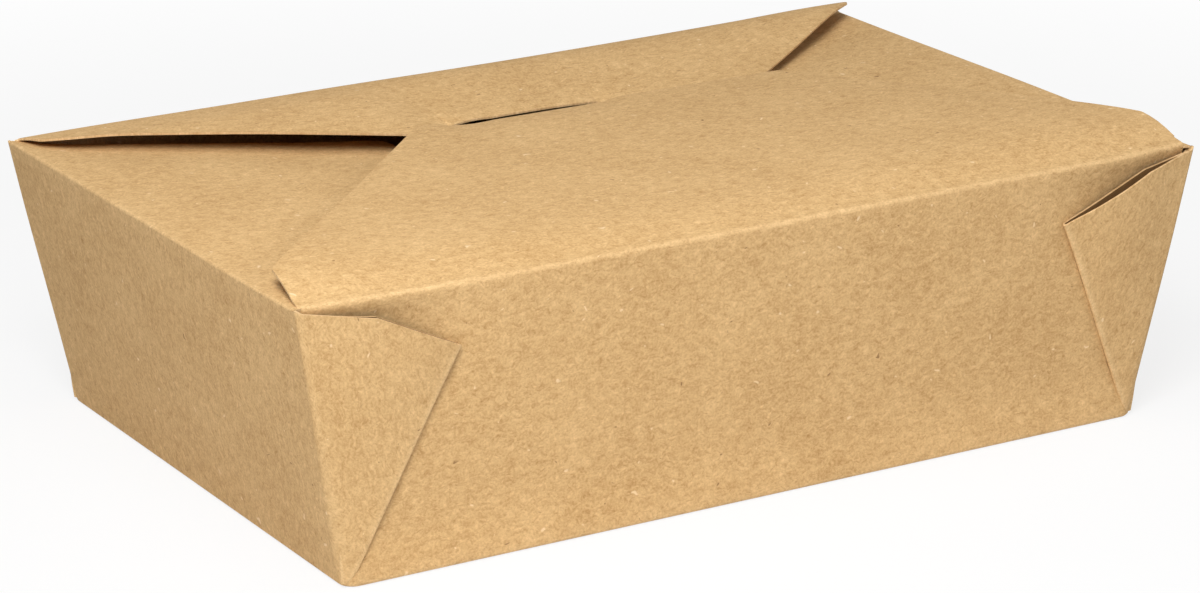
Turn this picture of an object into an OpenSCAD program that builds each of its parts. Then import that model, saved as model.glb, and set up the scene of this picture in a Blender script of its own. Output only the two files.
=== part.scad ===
// Folded kraft takeaway box with a tongue-and-slit top
// One blank of board: base, four leaning walls, a folded web at each corner, two end flaps,
// a back flap with a slit, and a front flap whose tongue drops through that slit.
// X runs along the long walls, the front wall faces -Y, and the base stands on Z = 0.

/* [Board] */
// Thickness of the board
board = 0.5; // [0.4:0.05:0.65]
// Air between two layers that lie on each other
layer_gap = 0.12; // [0.1:0.01:0.2]
// Outer radius of a crease
fold_r = 1; // [0.8:0.05:1.4]
// Outer radius of the upright corners
corner_r = 2.5; // [2:0.1:4]

/* [Box] */
// Length of the base over the end walls
base_l = 197; // [165:1:216]
// Width of the base over the corner webs
base_w = 133; // [110:1:158]
// Length of the top over the end walls
top_l = 220; // [200:1:262]
// Width of the top over the corner webs
top_w = 141; // [125:1:168]
// Height of the front and back top folds above the table
box_h = 62; // [48:1:76]

/* [Corner webs] */
// How far a web's point lies in from the end of the top
web_reach = 35; // [26:0.5:42]
// How far a web's point lies below the top folds
web_drop = 13.5; // [9:0.5:18]
// How far the bend in a web's top edge lies in from the end of the top
web_bend_reach = 15; // [10:0.5:20]
// How far the bend in a web's top edge lies below the top folds
web_bend_drop = 4.2; // [3:0.1:6]
// How far a web's diagonal fold starts in from the corner of the base
web_foot = 1.5; // [1:0.1:2.5]

/* [End flaps] */
// Clear way between the tips of the two end flaps
mouth_l = 68; // [54:1:90]
// Width of an end flap at its tip
end_tip_w = 80; // [60:1:96]
// How far an end flap's fold stops short of the front and back of the box
end_notch = 6; // [5:0.5:9]
// How far an end flap sinks towards its tip, in degrees
end_tilt = 3; // [2.5:0.1:5]

/* [Back flap] */
// Depth of the back flap's shoulders
back_shoulder_d = 7; // [5:0.5:10]
// Board left in front of the slit
slit_land = 14; // [10:0.5:18]
// Reach of the free edge to the left of the middle
back_free_left = 14; // [10:1:26]
// Reach of the free edge to the right of the middle
back_free_right = 44; // [35:1:54]
// Rise of the bow near the back fold
back_bow = 2; // [1:0.1:3]
// Sag of the free edge below the back fold
back_sag = 2.9; // [1.5:0.05:3.4]

/* [Front flap] */
// Depth of the front flap, from its fold to the tongue
front_d = 101; // [84:0.1:112]
// Depth of the front flap's shoulders
front_shoulder_d = 15.6; // [11:0.1:20]
// Reach of the free edge to the left of the middle
front_free_left = 28; // [25:0.5:36]
// Reach of the free edge to the right of the middle
front_free_right = 66; // [52:1:80]
// Rise of the bow near the front fold
front_bow = 3.2; // [2:0.1:4.5]
// How far the flaps' folds stop short of the ends of the box
flap_notch = 1.6; // [1.2:0.1:3]
// Radius of the shoulder corners
shoulder_r = 3; // [2:0.25:4]
// How far the shoulders draw in from their folds
shoulder_slant = 1; // [0:0.25:2]

/* [Tongue and slit] */
// Width of the tongue
tongue_w = 38; // [31:0.5:46]
// How far the tongue drops below the slit
tongue_drop = 7.5; // [5:0.5:10]
// Radius of the tongue's lower corners
tongue_r = 4; // [2:0.5:5]
// Air between the tongue and the slit's front side and ends
slit_air = 0.3; // [0.25:0.05:0.5]
// Air between the tongue and the slit's back side
slit_back_air = 0.7; // [0.4:0.05:1.2]

/* [Hidden] */
kraft = [0.8, 0.65, 0.44];
arc_steps = 5;
bow_steps = 18;
foot_steps = 2;
blade_steps = 4;
// Share of a flap's depth over which it springs up, and the factor that brings its peak to 1
bow_run = 0.09;
bow_gain = 1.5;
skin = 0.01;
far = 200;

// Lean of the walls, and the board's thickness and pitch measured level across them
end_lean = atan((top_l - base_l) / 2 / box_h);
long_lean = atan((top_w - base_w) / 2 / box_h);
end_t = board / cos(end_lean);
long_t = board / cos(long_lean);
long_pitch = long_t + layer_gap;
// Insets of the faces that lie one behind the other in a folded corner
end_inset = end_t + layer_gap;
wall_inset = 2 * long_pitch;
// Levels of the folds, and the lines that the front and back flaps turn on
end_top = box_h - board - layer_gap;
fold_y = top_w / 2 - wall_inset;
end_crease = fold_r / tan((90 - end_lean - end_tilt) / 2) * cos(end_lean);
end_wall_top = end_top - end_crease;
flap_half_l = top_l / 2 - flap_notch;
shoulder_x = flap_half_l - shoulder_slant;
// The slit lies where the tongue comes down, and the back flap reaches past it
slit_y = front_d - fold_y;
back_d = fold_y - slit_y + slit_land;
seat_u = (fold_y - slit_y) / back_d;

// Half length and half width of the box at a height
function half_l(z) = (base_l + (top_l - base_l) * z / box_h) / 2;
function half_w(z) = (base_w + (top_w - base_w) * z / box_h) / 2;

// Bow of a sheet that springs up next to its fold and then runs down to its free edge
function bow(u) = bow_gain * (1 - u) * u * u / (u * u + bow_run * bow_run);
function back_z(u) = box_h - back_sag * u + back_bow * bow(u);
front_end_z = back_z(seat_u) + layer_gap + board;
function front_z(u) = box_h + (front_end_z - box_h) * u + front_bow * bow(u);

function unit(v) = v / norm(v);
function left_of(v) = [-v.y, v.x];
// Arc that rounds the corner at p between the directions of a and b
function corner_arc(a, p, b, r) =
    let (u = unit(a - p))
    let (w = unit(b - p))
    let (half = acos(u * w) / 2)
    let (reach = min(r / tan(half), norm(a - p) * 0.45, norm(b - p) * 0.45))
    let (r_used = reach * tan(half))
    let (c = p + unit(u + w) * r_used / sin(half))
    let (s = p + u * reach - c)
    let (e = p + w * reach - c)
    let (a0 = atan2(s.y, s.x))
    let (sweep = (atan2(e.y, e.x) - a0 + 540) % 360 - 180)
    [for (i = [0:arc_steps]) c + r_used * [cos(a0 + sweep * i / arc_steps), sin(a0 + sweep * i / arc_steps)]];
// Points [x, y, r] of a closed outline, with each corner rounded to its r
function rounded(pts) = [
    for (i = [0:len(pts) - 1])
        let (n = len(pts))
        let (p = [pts[i].x, pts[i].y])
        let (a = [pts[(i + n - 1) % n].x, pts[(i + n - 1) % n].y])
        let (b = [pts[(i + 1) % n].x, pts[(i + 1) % n].y])
        each pts[i].z > 0 ? corner_arc(a, p, b, pts[i].z) : [p]
];
// Section of a sheet whose outer face follows a path, with its thickness t on the left
function sheet(path, t) = concat(path, [
    for (i = [len(path) - 1:-1:0])
        let (d0 = i > 0 ? unit(path[i] - path[i - 1]) : unit(path[1] - path[0]))
        let (d1 = i < len(path) - 1 ? unit(path[i + 1] - path[i]) : d0)
        let (m = unit(left_of(d0 + d1)))
        path[i] + t * m / (m * left_of(d0))
]);

// Extrusions of a section across the box: along X, and along Y
module along_x(section) {
    rotate([90, 0, 90])
        translate([0, 0, -far])
            linear_extrude(height = 2 * far)
                polygon(section);
}
module along_y(section) {
    rotate([90, 0, 0])
        translate([0, 0, -far])
            linear_extrude(height = 2 * far)
                polygon(section);
}
module from_above(outline) {
    translate([0, 0, box_h / 2])
        linear_extrude(height = box_h)
            polygon(outline);
}
module both_ends() {
    children();
    mirror([1, 0, 0])
        children();
}
module both_sides() {
    children();
    mirror([0, 1, 0])
        children();
}

// Solid block with leaning sides, rounded upright corners and a rounded foot
module block(in_x, in_y, floor_z, foot_r) {
    r = corner_r - in_x;
    hull() {
        for (i = [0:foot_steps]) {
            turn = 90 * i / foot_steps;
            block_slice(in_x + foot_r * (1 - sin(turn)), in_y + foot_r * (1 - sin(turn)),
                floor_z + foot_r * (1 - cos(turn)), r);
        }
        block_slice(in_x, in_y, box_h, r);
    }
}
module block_slice(in_x, in_y, z, r) {
    x = half_l(z) - in_x;
    y = half_w(z) - in_y;
    translate([0, 0, z])
        linear_extrude(height = skin)
            polygon(rounded([[x, y, r], [-x, y, r], [-x, -y, r], [x, -y, r]]));
}

// Corners of a web seen from the front, at the right end
web_root = [base_l / 2 - web_foot, 0];
web_point = [top_l / 2 - web_reach, box_h - web_drop];
web_bend = [top_l / 2 - web_bend_reach, box_h - web_bend_drop];
web_top = [half_l(end_wall_top) - corner_r, end_wall_top];

// End walls with the outer layers of the webs, which wrap round the upright corners
module end_walls() {
    intersection() {
        difference() {
            block(0, 0, 0, fold_r);
            block(end_t, long_t, board, fold_r - board);
        }
        both_ends()
            along_y([[web_root.x, -1], web_root, web_point, web_bend, web_top, [far, web_top.y], [far, -1]]);
    }
}

// Slab that runs the height of a long wall between two insets from the outer face
module long_slab(in_a, in_b) {
    along_x([
        [-half_w(0) + in_a, 0],
        [-half_w(0) + in_b, 0],
        [-half_w(box_h) + in_b, box_h],
        [-half_w(box_h) + in_a, box_h]
    ]);
}
// Everything between the end walls, seen from the front
module between_ends() {
    foot = half_l(0) - fold_r;
    low = half_l(fold_r) - end_inset;
    high = half_l(box_h) - end_inset;
    along_y([[-foot, -skin], [foot, -skin], [low, fold_r], [high, box_h], [-high, box_h], [-low, fold_r]]);
}

// Inner layer of the web at the front right corner, folded back from the wall at the corner
// and joined to the outer layer along the diagonal
module web_inner() {
    fold_in = board * [cos(end_lean), -sin(end_lean)];
    slant = unit(left_of(web_root - web_point)) * board;
    end_x0 = half_l(0) - end_inset;
    end_x1 = half_l(web_top.y) - end_inset;
    intersection() {
        long_slab(long_pitch, long_pitch + long_t);
        between_ends();
        along_y([web_root, web_point, web_bend, web_top, [far, web_top.y], [far, 0]]);
    }
    intersection() {
        long_slab(long_pitch + long_t / 2, wall_inset + long_t / 2);
        along_y([[end_x0 - end_t, 0], [end_x0, 0], [end_x1, web_top.y], [end_x1 - end_t, web_top.y]]);
    }
    intersection() {
        long_slab(long_t / 2, long_pitch + long_t / 2);
        along_y([web_root, web_point, web_point + slant, web_root + slant]);
    }
}

// Long walls, base and back flap, folded from one strip of the blank
long_path = let (front_top = [-half_w(end_top) + wall_inset, end_top])
    let (foot_y = half_w(0) - wall_inset)
    let (back_curve = [for (i = [1:bow_steps]) [fold_y - back_d * i / bow_steps, back_z(i / bow_steps)]])
    concat(
        [front_top],
        corner_arc(front_top, [-foot_y, 0], [foot_y, 0], fold_r),
        corner_arc([-foot_y, 0], [foot_y, 0], [fold_y, box_h], fold_r),
        corner_arc([foot_y, 0], [fold_y, box_h], back_curve[0], fold_r),
        back_curve
    );
wall_points = 3 * (arc_steps + 1) + 1;
long_section = sheet(long_path, board);
// Part of a sheet's section between two points of its path
function part_of(section, first, last) =
    let (n = len(section))
    concat([for (i = [first:last]) section[i]], [for (i = [last:-1:first]) section[n - 1 - i]]);

module long_walls() {
    intersection() {
        along_x(part_of(long_section, 0, wall_points - 1));
        between_ends();
    }
}

module back_flap() {
    difference() {
        intersection() {
            along_x(part_of(long_section, wall_points - 2, len(long_path) - 1));
            from_above(rounded([
                [-flap_half_l, fold_y + fold_r, 0],
                [-shoulder_x, fold_y - back_shoulder_d, shoulder_r],
                [-back_free_left, fold_y - back_d, shoulder_r],
                [back_free_right, fold_y - back_d, shoulder_r],
                [shoulder_x, fold_y - back_shoulder_d, shoulder_r],
                [flap_half_l, fold_y + fold_r, 0]
            ]));
        }
        slit();
    }
}
module slit() {
    half = tongue_w / 2 + slit_air;
    y0 = slit_y - board - slit_air;
    y1 = slit_y + slit_back_air;
    from_above([[-half, y0], [half, y0], [half, y1], [-half, y1]]);
}

// End flap at the right end, folded in over its crease
module end_flap() {
    wall_low = [half_l(end_wall_top - fold_r / 2), end_wall_top - fold_r / 2];
    corner = [half_l(end_top), end_top];
    tip = [mouth_l / 2, end_top - tan(end_tilt) * (corner.x - mouth_l / 2)];
    hinge_half = top_w / 2 - end_notch;
    intersection() {
        along_y(sheet(concat([wall_low], corner_arc(wall_low, corner, tip, fold_r), [tip]), board));
        from_above(rounded([
            [top_l / 2 + fold_r, hinge_half, 0],
            [top_l / 2 - fold_r, hinge_half, 0],
            [mouth_l / 2, end_tip_w / 2, shoulder_r],
            [mouth_l / 2, -end_tip_w / 2, shoulder_r],
            [top_l / 2 - fold_r, -hinge_half, 0],
            [top_l / 2 + fold_r, -hinge_half, 0]
        ]));
    }
}

// Front flap: a bowed plate that turns on the front fold, and its tongue
front_curve = [for (i = [0:bow_steps]) [-fold_y + front_d * i / bow_steps, front_z(i / bow_steps)]];
blade_start = asin((front_end_z - box_h) / front_d);
blade_end = -asin((box_h - back_z(seat_u) + tongue_drop) / front_d);
blade_curve = [
    for (i = [1:blade_steps])
        let (turn = blade_start + (blade_end - blade_start) * i / blade_steps)
        [-fold_y, box_h] + front_d * [cos(turn), sin(turn)]
];
tongue_path = concat(
    [front_curve[bow_steps - 2], front_curve[bow_steps - 1]],
    corner_arc(front_curve[bow_steps - 1], front_curve[bow_steps], blade_curve[0], board + slit_air),
    blade_curve
);

module front_plate() {
    intersection() {
        along_x(sheet(front_curve, -board));
        from_above(rounded([
            [-flap_half_l, -fold_y, 0],
            [-shoulder_x, -fold_y + front_shoulder_d, shoulder_r],
            [-front_free_left, slit_y, shoulder_r],
            [-tongue_w / 2 - slit_air, slit_y, 0],
            [-tongue_w / 2, slit_y - 2 * board, 0],
            [tongue_w / 2, slit_y - 2 * board, 0],
            [tongue_w / 2 + slit_air, slit_y, 0],
            [front_free_right, slit_y, shoulder_r],
            [shoulder_x, -fold_y + front_shoulder_d, shoulder_r],
            [flap_half_l, -fold_y, 0]
        ]));
    }
}
module tongue() {
    half = tongue_w / 2;
    low = blade_curve[blade_steps - 1].y - 1;
    intersection() {
        along_x(sheet(tongue_path, -board));
        along_y(rounded([
            [-half, 2 * box_h, 0],
            [-half, low + 1, tongue_r],
            [half, low + 1, tongue_r],
            [half, 2 * box_h, 0]
        ]));
    }
}

module tray() {
    color(kraft)
        union() {
            end_walls();
            both_ends()
                both_sides()
                    web_inner();
            long_walls();
            back_flap();
            both_ends()
                end_flap();
        }
}
module front_flap() {
    color(kraft)
        union() {
            front_plate();
            tongue();
        }
}

tray();
front_flap();
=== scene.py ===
import sys

import logging
import math
from collections.abc import Callable, Iterable, Sequence
from dataclasses import dataclass, field
from enum import Enum

import bmesh
import bpy
from mathutils import Matrix, Vector, noise


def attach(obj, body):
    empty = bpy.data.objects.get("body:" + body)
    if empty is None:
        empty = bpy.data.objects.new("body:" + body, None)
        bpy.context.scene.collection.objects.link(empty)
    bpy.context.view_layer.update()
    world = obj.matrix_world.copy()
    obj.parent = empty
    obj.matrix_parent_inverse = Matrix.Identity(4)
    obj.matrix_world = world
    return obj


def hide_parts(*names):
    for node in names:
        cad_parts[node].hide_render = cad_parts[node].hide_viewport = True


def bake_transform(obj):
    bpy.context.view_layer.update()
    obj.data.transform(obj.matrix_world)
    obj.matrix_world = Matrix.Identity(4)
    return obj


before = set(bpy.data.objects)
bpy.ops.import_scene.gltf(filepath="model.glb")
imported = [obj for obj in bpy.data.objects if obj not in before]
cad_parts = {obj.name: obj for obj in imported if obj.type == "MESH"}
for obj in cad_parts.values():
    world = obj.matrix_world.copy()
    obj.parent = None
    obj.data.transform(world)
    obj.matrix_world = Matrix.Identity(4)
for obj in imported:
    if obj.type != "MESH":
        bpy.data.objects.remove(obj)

Surface = Callable[[float, float], Vector]
Wear = Callable[[float, float], float]
Test = Callable[[Vector], bool]
Line = Sequence[tuple[float, float, float]]
Socket = bpy.types.NodeSocket
Colour = tuple[float, float, float, float]
Settings = dict[str, object]
Inputs = dict[int | str, object]

LOG = logging.getLogger("takeaway_box")
WAVE_SEED = 1  # without a seed the waves of the board differ in each run
MM = 0.001
UV_MM = 100.0  # millimetres of board to one unit of its UV map
PATTERN_START = Vector((0, 0))  # where the long sheets lie on the pattern of the board
BOX_MIDDLE = Vector((0, 0, 0.03))  # where the lamps aim, in metres
WHITE: Colour = (1.0, 1.0, 1.0, 1.0)
# In millimetres:
END_FLAT = 67.96  # from the middle of an end sheet to its upright corner
END_ARC = 3.93  # round the upright corner
HALF_SPAN = 109.0  # half a long sheet before it is cut to its outline
SLIT_FINE_END = -8.0  # where the finer columns at the slit's left end stop
PINCH = 0.06  # least reach of the loop between a web and its wall


class Side(Enum):
    """End of the box that a piece belongs to."""

    LEFT = -1
    RIGHT = 1


class Face(Enum):
    """Long wall of the box that a web lies on."""

    FRONT = -1
    BACK = 1


class BoardFace(Enum):
    """Faces of a sheet of board, in the order of its material slots."""

    OUTSIDE = 0
    LINING = 1
    CUT_EDGE = 2


# --- sizes -------------------------------------------------------------------


@dataclass(frozen=True)
class Board:
    """The paperboard that the box is folded from, in millimetres.

    Attributes:
        thickness: Thickness of the board.
        layer_gap: Air between two layers that lie on each other.
        low_corner: Outer radius of the upright corners at the table.
        high_corner: Their outer radius at the top, where they are pressed sharper.
        edge_bevel: Wear that rounds a cut edge.
        grid: Distance between the rows of a sheet's mesh.
    """

    thickness: float = 0.5
    layer_gap: float = 0.12
    low_corner: float = 3.4
    high_corner: float = 1.4
    edge_bevel: float = 0.05
    grid: float = 3.0


@dataclass(frozen=True)
class BoxSizes:
    """Outer sizes of the closed box, in millimetres, as the solids have them."""

    base_l: float = 197.0
    base_w: float = 133.0
    top_l: float = 220.0
    top_w: float = 141.0
    height: float = 62.0
    end_top: float = 61.38
    fold_y: float = 69.258
    end_notch: float = 2.7
    corner_top: float = 61.25
    flap_half_l: float = 108.4
    board: Board = field(default_factory=Board)

    def half_l(self, z: float) -> float:
        """Half the length over the end walls at a height."""
        return (self.base_l + (self.top_l - self.base_l) * z / self.height) / 2

    def half_w(self, z: float) -> float:
        """Half the width over the corner webs at a height."""
        return (self.base_w + (self.top_w - self.base_w) * z / self.height) / 2

    def corner_radius(self, z: float) -> float:
        """Outer radius of the upright corners at a height."""
        return self.board.low_corner + (self.board.high_corner - self.board.low_corner) * smooth(0, 50, z)

    @property
    def long_reach(self) -> float:
        """Length of a long wall up its slope."""
        return math.hypot(self.height, (self.top_w - self.base_w) / 2)

    @property
    def wall_inset(self) -> float:
        """How far a long wall lies behind the face of the webs on it."""
        return self.top_w / 2 - self.fold_y

    @property
    def inner_inset(self) -> float:
        """How far the wall side of a web's inner layer lies behind its face."""
        return self.wall_inset - self.board.layer_gap

    @property
    def web_fold_radius(self) -> float:
        """Outer radius of the diagonal fold between the layers of a web."""
        return self.inner_inset / 2

    def loop_x(self, z: float) -> float:
        """Reach of a long wall to where it turns back into the web."""
        return self.half_l(z) - 1.19 + 0.75 * (1 - smooth(0, 12, z))


# --- sheets ------------------------------------------------------------------


@dataclass(frozen=True)
class Panel:
    """One run of a folded sheet between two creases.

    Attributes:
        reach: Length of the run along the sheet.
        surface: Point of the outer face for a place across and along the run.
    """

    reach: float
    surface: Surface


@dataclass(frozen=True)
class FoldedRun:
    """Row of panels that are joined by soft creases.

    Attributes:
        panels: The panels in order.
        softness: Half the width of each crease's curve.
        start: Place of the first panel's beginning along the sheet.
    """

    panels: tuple[Panel, ...]
    softness: tuple[float, ...]
    start: float = 0.0

    @property
    def creases(self) -> list[float]:
        """Places of the creases along the sheet."""
        found, place = [], self.start
        for panel in self.panels[:-1]:
            place += panel.reach
            found.append(place)
        return found

    @property
    def end(self) -> float:
        """Place of the last panel's end along the sheet."""
        return self.start + sum(p.reach for p in self.panels)

    def rows(self, spacing: float, crease_steps: int = 8) -> list[float]:
        """Places of the mesh rows, close together in the creases.

        Args:
            spacing: Distance between rows on a flat run.
            crease_steps: Faces across one crease.

        Returns:
            The places in rising order.
        """
        marks = [self.start]
        for crease, soft in zip(self.creases, self.softness):
            marks += evenly(marks[-1], crease - soft, spacing)[1:]
            marks += [crease - soft + 2 * soft * i / crease_steps for i in range(1, crease_steps + 1)]
        marks += evenly(marks[-1], self.end, spacing)[1:]
        return sorted({*marks, self.start + 0.3, self.end - 0.3})

    def place(self, across: float, along: float) -> Vector:
        """Point of the outer face for a place on the flat sheet.

        Args:
            across: Place across the sheet.
            along: Place along the sheet.

        Returns:
            The point on the folded sheet.
        """
        start, last = self.start, len(self.panels) - 1
        for i, panel in enumerate(self.panels):
            if i == last or along <= start + panel.reach:
                break
            start += panel.reach
        t = along - start
        if i > 0 and t < self.softness[i - 1]:
            return self._crease(i - 1, across, (t / self.softness[i - 1] + 1) / 2)
        if i < last and panel.reach - t < self.softness[i]:
            return self._crease(i, across, (1 - (panel.reach - t) / self.softness[i]) / 2)
        return panel.surface(across, t)

    def _crease(self, i: int, across: float, t: float) -> Vector:
        """Point on the curve of crease i, from its start at t 0 to its end at t 1."""
        before, after, soft = self.panels[i], self.panels[i + 1], self.softness[i]
        a = before.surface(across, before.reach - soft)
        c = before.surface(across, before.reach)
        b = after.surface(across, soft)
        return a * (1 - t) ** 2 + c * (2 * t * (1 - t)) + b * t**2

    def wear(self, along: float) -> float:
        """Wear of the board at a place along the sheet, 1 on a crease."""
        return max((math.exp(-(((along - c) / 0.9) ** 2)) for c in self.creases), default=0.0)


def evenly(a: float, b: float, spacing: float) -> list[float]:
    """Places from a to b, no further apart than the spacing."""
    steps = max(1, math.ceil(abs(b - a) / spacing))
    return [a + (b - a) * i / steps for i in range(steps + 1)]


def smooth(a: float, b: float, x: float) -> float:
    """Eases from 0 at a to 1 at b."""
    t = min(1.0, max(0.0, (x - a) / (b - a)))
    return t * t * (3 - 2 * t)


def eased(x: float, stops: Sequence[tuple[float, float]]) -> float:
    """Value at x of a curve that eases from stop to stop.

    Args:
        x: Place on the curve.
        stops: Places and values in rising order of place.

    Returns:
        The value there.
    """
    value = stops[0][1]
    for (x0, v0), (x1, v1) in zip(stops, stops[1:]):
        if x >= x0:
            value = v0 + (v1 - v0) * smooth(x0, x1, x)
    return value


def shown(name: str, data: bpy.types.ID) -> bpy.types.Object:
    """New object in the scene that shows the data."""
    made = bpy.data.objects.new(name, data)
    bpy.context.scene.collection.objects.link(made)
    return made


class Blank:
    """Sheet of board that is cut flat, folded and given its thickness.

    Attributes:
        ROUNDING: Cuts that round one corner.
        BEVEL_STEPS: Faces across a worn edge.
    """

    ROUNDING = 5
    BEVEL_STEPS = 2

    def __init__(self, across: Sequence[float], along: Sequence[float]) -> None:
        """Lays out the flat sheet with a row of edges at each place.

        Args:
            across: Places of the columns, in rising order.
            along: Places of the rows, in rising order.
        """
        self.bm = bmesh.new()
        bmesh.ops.create_grid(self.bm, x_segments=1, y_segments=1, size=0.5)
        span = Vector((across[-1] - across[0], along[-1] - along[0], 1.0))
        middle = Vector((across[-1] + across[0], along[-1] + along[0], 0.0)) / 2
        bmesh.ops.scale(self.bm, vec=span, verts=self.bm.verts)
        bmesh.ops.translate(self.bm, vec=middle, verts=self.bm.verts)
        for place in across[1:-1]:
            self.score((place, 0.0), (1.0, 0.0))
        for place in along[1:-1]:
            self.score((0.0, place), (0.0, 1.0))

    def score(self, point: Sequence[float], normal: Sequence[float], where: Test | None = None) -> None:
        """Adds a row of edges along a line of the flat sheet.

        Args:
            point: A point of the line.
            normal: Direction across the line.
            where: Test of a face's middle, for a line that crosses only some faces.
        """
        faces = [f for f in self.bm.faces if where is None or where(f.calc_center_median())]
        edges = {e for f in faces for e in f.edges}
        verts = {v for f in faces for v in f.verts}
        bmesh.ops.bisect_plane(
            self.bm,
            geom=[*faces, *edges, *verts],
            dist=1e-4,
            plane_co=(point[0], point[1], 0.0),
            plane_no=(normal[0], normal[1], 0.0),
        )

    def drop(self, where: Test) -> None:
        """Takes away the faces whose middle passes the test."""
        gone = [f for f in self.bm.faces if where(f.calc_center_median())]
        bmesh.ops.delete(self.bm, geom=gone, context="FACES")

    def trim(self, point: Vector, outward: Vector, where: Test | None = None) -> None:
        """Cuts the sheet along a line and takes away what lies outside.

        Args:
            point: A point of the line.
            outward: Direction that leads outside.
            where: Test of a face's middle, for a cut through only some faces.
        """
        self.score(point, outward, where)
        self.drop(lambda c: (where is None or where(c)) and (c.xy - point).dot(outward) > 1e-5)

    def trim_along(self, line: Line, where: Test | None = None) -> None:
        """Cuts the sheet along a chain of straight edges with rounded corners.

        Args:
            line: Corners and their radii, with the kept board on the left.
            where: Test of a face's middle, for a cut through only some faces.
        """
        points = [Vector((x, y)) for x, y, _ in line]
        normals = []
        for a, b in zip(points, points[1:]):
            d = (b - a).normalized()
            normals.append(Vector((d.y, -d.x)))
            self.trim(a, normals[-1], where)
        for i in range(1, len(points) - 1):
            radius, n0, n1 = line[i][2], normals[i - 1], normals[i]
            if radius <= 0:
                continue
            half = (n0 + n1).normalized()
            centre = points[i] - half * (radius / half.dot(n0))
            turn = math.atan2(n0.x * n1.y - n0.y * n1.x, n0.dot(n1))
            for k in range(1, self.ROUNDING + 1):
                angle = turn * k / (self.ROUNDING + 1)
                out = Matrix.Rotation(angle, 2) @ n0
                self.trim(centre + out * radius, out, where)

    def soften(self, seams: Sequence[float]) -> None:
        """Marks the cut edges for a slight rounding, but not the seams to a next piece.

        Args:
            seams: Places along the sheet where it goes on in a next piece.
        """
        weight = self.bm.edges.layers.float.new("bevel_weight_edge")
        for edge in self.bm.edges:
            ends = [v.co.y for v in edge.verts]
            seam = any(max(abs(y - place) for y in ends) < 0.01 for place in seams)
            edge[weight] = 1.0 if edge.is_boundary and not seam else 0.0
            edge.smooth = not (edge.is_boundary and seam)

    def fold(self, place: Surface, wear: Wear, origin: Vector = PATTERN_START, turned: bool = False) -> None:
        """Folds the flat sheet and keeps its flat places as its UV map.

        Args:
            place: Point of the folded sheet for a place on the flat one.
            wear: Wear of the board for a place on the flat sheet, below 0 where shade is painted in.
            origin: Place of this sheet's own origin on the pattern of the board.
            turned: Whether the grain of the board runs along the sheet instead of across it.
        """
        bmesh.ops.remove_doubles(self.bm, verts=self.bm.verts, dist=0.04)
        bmesh.ops.dissolve_degenerate(self.bm, dist=0.01, edges=self.bm.edges)
        uv = self.bm.loops.layers.uv.new("blank")
        worn = self.bm.verts.layers.float.new("wear")
        for face in self.bm.faces:
            face.smooth = True
            for loop in face.loops:
                u, v = (loop.vert.co.xy + origin) / UV_MM
                loop[uv].uv = (v, u) if turned else (u, v)
        for vert in self.bm.verts:
            u, v = vert.co.xy
            vert[worn] = wear(u, v)
            vert.co = place(u, v)

    def turn_over(self) -> None:
        """Turns the outer face to the other side."""
        bmesh.ops.reverse_faces(self.bm, faces=self.bm.faces)

    def finish(self, name: str, board: Board, materials: Sequence[bpy.types.Material]) -> bpy.types.Object:
        """Makes the object and gives it the board's thickness.

        Args:
            name: Name of the piece.
            board: The board that it is made of.
            materials: Materials in the order of BoardFace.

        Returns:
            The piece, with its place in its mesh.
        """
        bmesh.ops.scale(self.bm, vec=Vector((MM, MM, MM)), verts=self.bm.verts)
        mesh = bpy.data.meshes.new(name)
        self.bm.to_mesh(mesh)
        self.bm.free()
        for material in materials:
            mesh.materials.append(material)
        piece = shown(name, mesh)
        wall = piece.modifiers.new("thickness", "SOLIDIFY")
        wall.thickness = board.thickness * MM
        wall.offset = -1.0
        wall.use_even_offset = False
        wall.material_offset = BoardFace.LINING.value
        wall.material_offset_rim = BoardFace.CUT_EDGE.value
        soft = piece.modifiers.new("cut_edge", "BEVEL")
        soft.width = board.edge_bevel * MM
        soft.segments = self.BEVEL_STEPS
        soft.limit_method = "WEIGHT"
        soft.harden_normals = True
        LOG.info("%s: %d faces on the sheet", name, len(mesh.polygons))
        return piece


# --- finishes ----------------------------------------------------------------


def srgb(red: int, green: int, blue: int) -> Colour:
    """Colour as the shader wants it, from its picture values of 0 to 255."""

    def linear(value: int) -> float:
        """One channel, from its picture value."""
        c = value / 255
        return c / 12.92 if c <= 0.04045 else ((c + 0.055) / 1.055) ** 2.4

    return linear(red), linear(green), linear(blue), 1.0


class Signal:
    """Number in a shader that takes part in sums with numbers and other signals."""

    def __init__(self, shader: "Shader", socket: Socket) -> None:
        """Wraps the socket of one of the shader's nodes."""
        self.shader = shader
        self.socket = socket

    def _math(self, operation: str, a: "Signal | float", b: "Signal | float") -> "Signal":
        """Adds a Math node for a and b."""
        return self.shader.value("ShaderNodeMath", {"operation": operation}, {0: a, 1: b})

    def __add__(self, other: "Signal | float") -> "Signal":
        """This signal plus the other."""
        return self._math("ADD", self, other)

    __radd__ = __add__

    def __sub__(self, other: "Signal | float") -> "Signal":
        """This signal less the other."""
        return self._math("SUBTRACT", self, other)

    def __rsub__(self, other: float) -> "Signal":
        """The number less this signal."""
        return self._math("SUBTRACT", other, self)

    def __mul__(self, other: "Signal | float") -> "Signal":
        """This signal times the other."""
        return self._math("MULTIPLY", self, other)

    __rmul__ = __mul__

    def step(self, low: float, high: float) -> "Signal":
        """Eases from 0 at low to 1 at high."""
        settings = {"interpolation_type": "SMOOTHSTEP"}
        return self.shader.value("ShaderNodeMapRange", settings, {0: self, 1: low, 2: high, 3: 0.0, 4: 1.0})


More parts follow.
